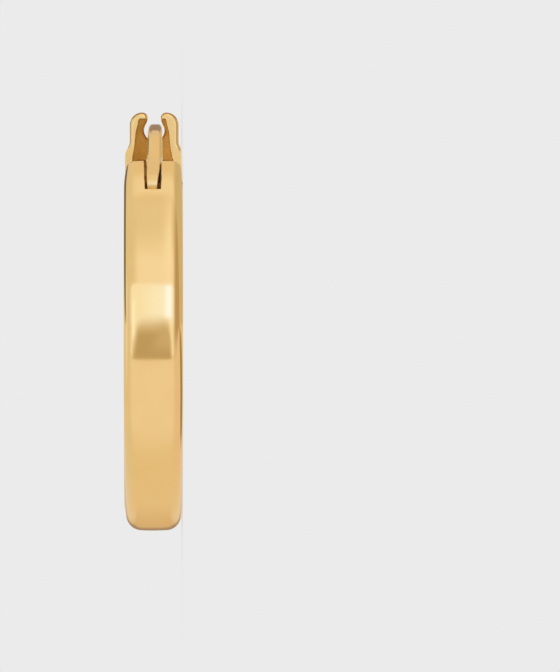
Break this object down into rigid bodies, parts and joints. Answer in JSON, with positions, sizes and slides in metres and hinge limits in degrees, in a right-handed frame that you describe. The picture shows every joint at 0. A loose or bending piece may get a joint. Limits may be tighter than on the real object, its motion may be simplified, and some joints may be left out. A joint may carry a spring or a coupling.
{
  "type": "hoop earring",
  "caption": "Plain flat-band hoop earring with a hinged ear post in a slotted front end and an open keyhole catch at the back.",
  "frame": {"origin": "middle of the bottom of the whole earring's box, on the surface that the hoop lies on", "axes": "+Z is the hoop's own axis and the way up as it lies on its side, +X points at the clasp, -Y at the front of the hoop as it is worn"},
  "size_m": [0.0306, 0.0298, 0.0041],
  "materials": {
    "band_gold": "polished warm gold plating",
    "post_gold": "polished warm gold plating",
    "pin_gold": "satin warm gold plating"
  },
  "bodies": {
    "hoop": {"hoop_band": "band_gold", "hinge_pin": "pin_gold"},
    "post": {"ear_post": "post_gold"}
  },
  "joints": [
    {"name": "post_hinge", "type": "hinge", "parent": "hoop", "child": "post", "pos_m": [0.00935, -0.00993, 0.00208], "axis": [0, 0, -1], "range_deg": [0, 90]}
  ]
}
